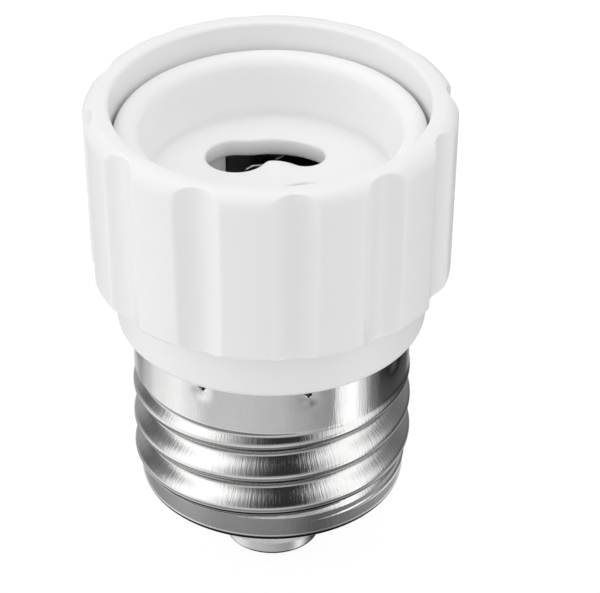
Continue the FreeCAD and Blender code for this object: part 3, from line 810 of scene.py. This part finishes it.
def sheared_and_highlit_strip():
    """Dark spring strip whose upper and lower edges are bright, partly as bare sheared metal and
    partly as a painted highlight.
    """
    tree, source, sink = group("sheared_and_highlit_strip", {
        "Tone": grey(0.1), "Film": grey(0.8), "Gloss": 0.2, "Streak": 0.1,
    }, FINISH)
    place = tree.nodes.new("ShaderNodeTexCoord").outputs
    # Painted highlight, partly bare sheared metal: faces turned up or down take the bright film
    # tone.
    steep = math_node(tree, "ABSOLUTE", separate(tree, place["Normal"])["Z"])
    flat = math_node(tree, "GREATER_THAN", steep, 0.93)
    slope = math_node(tree, "MINIMUM", math_node(tree, "MULTIPLY", steep, 1.6), 1.0)
    edge = math_node(tree, "SUBTRACT", slope, math_node(tree, "MULTIPLY", flat, 0.7))
    grain = noise(tree, place["Object"], 900.0, 3.0, 0.6)
    rubbed_and_highlit_edge = math_node(tree, "MULTIPLY", edge, math_node(tree, "ADD", grain, 0.5))
    rough = math_node(tree, "MULTIPLY", grain, source["Streak"])
    bare_and_highlit_edge = math_node(tree, "MINIMUM", rubbed_and_highlit_edge, 1.0)
    send(tree, sink,
         Color=mix_colour(tree, bare_and_highlit_edge, source["Tone"], source["Film"]),
         Roughness=math_node(tree, "ADD", source["Gloss"], rough),
         Height=grain)
    return tree


GROUPS = {
    "mould_skin": mould_skin(),
    "pocket_shade": pocket_shade(),
    "rolled_marks_and_painted_shade": rolled_marks_and_painted_shade(),
    "sheared_and_highlit_strip": sheared_and_highlit_strip(),
}
MATERIALS = {}


def surface_material(name, effect, values, bump, **shader):
    """Makes a material whose colour, roughness and bump come from a shared group."""
    material = bpy.data.materials.new(name)
    material.use_nodes = True
    tree = material.node_tree
    node = tree.nodes.new("ShaderNodeGroup")
    node.node_tree = GROUPS[effect]
    send(tree, node.inputs, **values)
    relief = tree.nodes.new("ShaderNodeBump")
    send(tree, relief.inputs, Strength=bump, Distance=0.0001, Height=node.outputs["Height"])
    send(tree, tree.nodes["Principled BSDF"].inputs, Base_Color=node.outputs["Color"],
         Roughness=node.outputs["Roughness"], Normal=relief.outputs["Normal"], **shader)
    MATERIALS[name] = material


def shade_pockets(name):
    """Puts the pocket shade between a material's colour and its shader."""
    tree = MATERIALS[name].node_tree
    colour = tree.nodes["Principled BSDF"].inputs["Base Color"]
    shade = tree.nodes.new("ShaderNodeGroup")
    shade.node_tree = GROUPS["pocket_shade"]
    tree.links.new(colour.links[0].from_socket, shade.inputs["Color"])
    tree.links.new(shade.outputs["Color"], colour)


def plastic(name, tone, gloss, depth=0.0):
    """Moulded plastic; depth in millimetres is how far light spreads under its skin."""
    values = {"Tone": grey(tone), "Shade": grey(tone * 0.97), "Gloss": gloss}
    surface_material(
        name, "mould_skin", values, 0.05, Specular_IOR_Level=0.5,
        Subsurface_Weight=1.0 if depth else 0.0, Subsurface_Radius=(1, 1, 1),
        Subsurface_Scale=depth * MM)


def sleeve(name, tone, shade):
    """Soft insulating sleeve."""
    surface_material(name, "mould_skin", {"Tone": tone, "Shade": shade, "Gloss": 0.4}, 0.1)


def metal(name, tone, film, gloss, streak, bump=0.06, shade_strength=0.0):
    """Rolled metal; the film is a second tone in clouds, and the last value is the strength of a
    painted shade under the crests and in the stakes' pits.
    """
    values = {"Tone": tone, "Film": film, "Gloss": gloss, "Streak": streak, "PaintedShade": shade_strength}
    surface_material(name, "rolled_marks_and_painted_shade", values, bump, Metallic=1.0)


plastic("ring_plastic", 0.92, 0.26, 0.2)
plastic("insert_plastic", 0.95, 0.26, 1.2)
shade_pockets("insert_plastic")
plastic("body_plastic", 0.90, 0.32)
# Painted shade: the back plate, seen deep through the keyholes, is given a dark grey.
plastic("plate_plastic", 0.16, 0.5)
# The shell's last value sets its painted shade under the crests and in the pits.
metal("shell_nickel", grey(0.92, 0.01), grey(0.74, 0.01), 0.01, 0.05, 0.22, 0.85)
metal("contact_nickel", grey(0.84, 0.01), grey(0.7, 0.01), 0.2, 0.15)
# Dark spring strip; its bright edges are partly a painted highlight.
surface_material("spring_metal", "sheared_and_highlit_strip", {
    "Tone": grey(0.22, 0.02), "Film": grey(0.95, 0.02), "Gloss": 0.22, "Streak": 0.15,
}, 0.05, Metallic=1.0)
metal("screw_steel", grey(0.55), grey(0.4), 0.3, 0.1)
metal("tag_brass", (0.72, 0.55, 0.25, 1), (0.5, 0.36, 0.15, 1), 0.25, 0.1)
metal("lead_copper", (0.78, 0.42, 0.27, 1), (0.55, 0.27, 0.17, 1), 0.25, 0.1)
metal("solder", grey(0.6), grey(0.45), 0.35, 0.15)
sleeve("sleeve_brown", (0.09, 0.035, 0.015, 1), (0.06, 0.022, 0.01, 1))
sleeve("sleeve_blue", (0.02, 0.07, 0.3, 1), (0.014, 0.045, 0.2, 1))


def paint(piece, slot):
    """Gives a piece its one material."""
    piece.data.materials.clear()
    piece.data.materials.append(MATERIALS[slot])


def finish_piece(piece, node, slot):
    """Paint, ride and replace one new piece."""
    paint(piece, slot)
    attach(piece, "root")
    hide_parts(node)


finish_piece(screw_shell(), "screw_shell", "shell_nickel")
finish_piece(fluted_ring(), "fluted_ring", "ring_plastic")
finish_piece(socket_insert(), "socket_insert", "insert_plastic")
finish_piece(base_body(), "base_body", "body_plastic")
finish_piece(centre_contact(), "centre_contact", "contact_nickel")
for pole, pole_side in (("live", 1), ("neutral", -1)):
    spring = contact_spring("contact_spring_" + pole + "_bent", pole_side)
    finish_piece(spring, "contact_spring_" + pole, "spring_metal")

KEPT_NODES = {
    "back_plate": "plate_plastic",
    "plate_screw_left": "screw_steel",
    "plate_screw_right": "screw_steel",
    "solder_tag": "tag_brass",
    "live_core": "lead_copper",
    "neutral_core": "lead_copper",
    "live_sleeve": "sleeve_brown",
    "neutral_sleeve": "sleeve_blue",
    "live_solder": "solder",
    "neutral_solder": "solder",
    "tip_solder": "solder",
}
for node_name, slot_name in KEPT_NODES.items():
    paint(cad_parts[node_name], slot_name)


def painted_floor_reflection(tree, clear):
    """Painted reflection of the floor as the metal shows it: painted shade and brighter rings round
    the foot, clear inside and beyond them, with a faint painted glow just outside.
    """
    parts = separate(tree, tree.nodes.new("ShaderNodeTexCoord").outputs["Object"])
    share = math_node(tree, "DIVIDE", from_axis(tree, parts), RAMP_REACH * MM)
    # Painted reflection: dark rings for the shade round the foot, bright rings beyond.
    tone = radius_ramp(tree, share, [
        (0, 0.05), (12, 0.04), (15, 0.06), (16.5, 0.95), (19, 0.95), (20.5, 0.38), (28.5, 0.46),
        (30, 0.95),
    ])
    around_foot = direction_ramp(tree, turn_share(tree, parts), [
        (-180, 0.5), (-90, 0.75), (-64, 0.88), (-30, 0.62), (0, 0.52), (31, 0.24), (50, 0.42),
        (64, 0.58), (90, 0.85), (180, 0.5),
    ])
    cover = radius_ramp(tree, share, [(0, 0), (9, 0), (12, 1), (28.4, 1), (30.2, 0)])
    halo = radius_ramp(tree, share, [(0, 0), (27, 0), (29, 0.12), (35, 0.08), (44, 0)])
    shade = mix_colour(tree, 1.0, tone, around_foot, "MULTIPLY")
    rings = chain(tree, "ShaderNodeEmission", shade)
    beyond = chain(tree, "ShaderNodeAddShader", clear, chain(tree, "ShaderNodeEmission", halo))
    return chain(tree, "ShaderNodeMixShader", cover, beyond, rings)


def make_floor():
    """Wide pale floor at the lowest point, white to the camera but for the shadow.

    It is clear from below, and metal sees the painted floor reflection in its place.
    """
    mesh = bpy.data.meshes.new("studio_floor")
    half = FLOOR_HALF * MM
    corners = [(-half, -half, 0), (half, -half, 0), (half, half, 0), (-half, half, 0)]
    mesh.from_pydata(corners, [], [(0, 1, 2, 3)])
    floor = bpy.data.objects.new("studio_floor", mesh)
    bpy.context.scene.collection.objects.link(floor)
    material = bpy.data.materials.new("floor_white")
    material.use_nodes = True
    tree = material.node_tree
    principled = tree.nodes["Principled BSDF"]
    send(tree, principled.inputs, Base_Color=grey(0.75), Roughness=0.8)
    surface = principled.outputs[0]
    path = tree.nodes.new("ShaderNodeLightPath").outputs
    clear = chain(tree, "ShaderNodeBsdfTransparent")
    white = chain(tree, "ShaderNodeEmission", grey(1.0), 1.08)
    glow = chain(tree, "ShaderNodeEmission", grey(1.0), 0.15)
    shown = chain(tree, "ShaderNodeMixShader", 0.86, surface, white)
    lit = chain(tree, "ShaderNodeAddShader", surface, glow)
    seen = chain(tree, "ShaderNodeMixShader", path["Is Camera Ray"], lit, shown)
    painted_reflection = painted_floor_reflection(tree, clear)
    above = chain(tree, "ShaderNodeMixShader", path["Is Glossy Ray"], seen, painted_reflection)
    below = tree.nodes.new("ShaderNodeNewGeometry").outputs["Backfacing"]
    both = chain(tree, "ShaderNodeMixShader", below, above, clear)
    tree.links.new(both, tree.nodes["Material Output"].inputs["Surface"])
    floor.data.materials.append(material)


def make_world():
    """Studio room: white to the camera, a dome for light, and painted reflections of bright and
    dark walls, a table and a ceiling for metal.
    """
    world = bpy.data.worlds.new("studio_room")
    bpy.context.scene.world = world
    world.use_nodes = True
    tree = world.node_tree
    tree.nodes.clear()
    parts = separate(tree, tree.nodes.new("ShaderNodeTexCoord").outputs["Generated"])
    height = parts["Z"]
    share = turn_share(tree, parts)
    # Painted reflections, seen only by glossy rays: walls by direction, a table below and a ceiling
    # above.
    walls = direction_ramp(tree, share, [
        (-180, 0.35), (-142, 0.27), (-118, 0.10), (-101, 0.20), (-84, 0.85), (-66, 1.0),
        (-48, 0.85), (-33, 0.38), (-17, 0.12), (-4, 0.025), (22, 0.025), (34, 0.32), (50, 0.80),
        (70, 0.90), (84, 0.60), (98, 0.20), (116, 0.12), (140, 0.16), (180, 0.35),
    ])
    table = direction_ramp(tree, share, [
        (-180, 0.45), (-160, 0.42), (-143, 0.24), (-128, 0.42), (-112, 0.66), (-86, 0.78),
        (-70, 0.66), (-54, 0.46), (-30, 0.47), (4, 0.42), (22, 0.34), (40, 0.27), (51, 0.24),
        (60, 0.84), (72, 0.97), (82, 0.55), (92, 0.14), (106, 0.03), (126, 0.01), (150, 0.02),
        (166, 0.2), (180, 0.45),
    ])
    room = mix_colour(tree, step_between(tree, height, -0.60, -0.10), table, walls)
    room = mix_colour(tree, step_between(tree, height, -0.76, -0.90), room, grey(0.02))
    ceiling = step_between(tree, height, 0.83, 0.88, form="LINEAR")
    room = mix_colour(tree, ceiling, room, grey(0.7))
    zenith = math_node(tree, "MULTIPLY", math_node(tree, "MAXIMUM", height, 0.0), 0.70)
    sides = math_node(tree, "MULTIPLY", math_node(tree, "POWER", parts["X"], 2.0), 0.10)
    dome = math_node(tree, "ADD", math_node(tree, "ADD", zenith, sides), 0.42)
    light = chain(tree, "ShaderNodeBackground", grey(1.0), dome)
    mirror = chain(tree, "ShaderNodeBackground", room, 1.25)
    white = chain(tree, "ShaderNodeBackground", grey(1.0), 1.0)
    path = tree.nodes.new("ShaderNodeLightPath").outputs
    unseen = chain(tree, "ShaderNodeMixShader", path["Is Glossy Ray"], light, mirror)
    direct = math_node(tree, "MAXIMUM", path["Is Camera Ray"], path["Is Transmission Ray"])
    final = chain(tree, "ShaderNodeMixShader", direct, unseen, white)
    tree.links.new(final, tree.nodes.new("ShaderNodeOutputWorld").inputs["Surface"])


def area_light(name, place, target, size, power):
    """Soft square lamp facing a point; distances in metres."""
    data = bpy.data.lights.new(name, "AREA")
    data.shape = "SQUARE"
    data.size = size
    data.energy = power
    lamp = bpy.data.objects.new(name, data)
    bpy.context.scene.collection.objects.link(lamp)
    lamp.location = place
    direction = Vector(target) - Vector(place)
    lamp.rotation_euler = direction.to_track_quat("-Z", "Y").to_euler()
    lamp.visible_glossy = False


def make_camera():
    """Pinhole camera, fitted to the thread's crests and the ring."""
    data = bpy.data.cameras.new("camera")
    data.sensor_width = 36.0
    data.lens = FOCAL_PX * data.sensor_width / FRAME_WIDTH_PX
    data.clip_start = 0.01
    camera = bpy.data.objects.new("camera", data)
    bpy.context.scene.collection.objects.link(camera)
    camera.location = Vector((-0.0085, -278.582, 209.195)) * MM
    forward = Vector((0.008098, 0.837276, -0.546721))
    camera.rotation_mode = "QUATERNION"
    camera.rotation_quaternion = forward.to_track_quat("-Z", "Y")
    bpy.context.scene.camera = camera


make_floor()
make_world()
make_camera()
LAMP_TARGET = (0, 0, 0.03)
area_light("key", (-0.50, -0.10, 0.25), LAMP_TARGET, 0.30, 0.6)
area_light("fill", (0.42, -0.15, 0.35), LAMP_TARGET, 0.30, 0.18)

bpy.context.scene.view_settings.view_transform = "Standard"
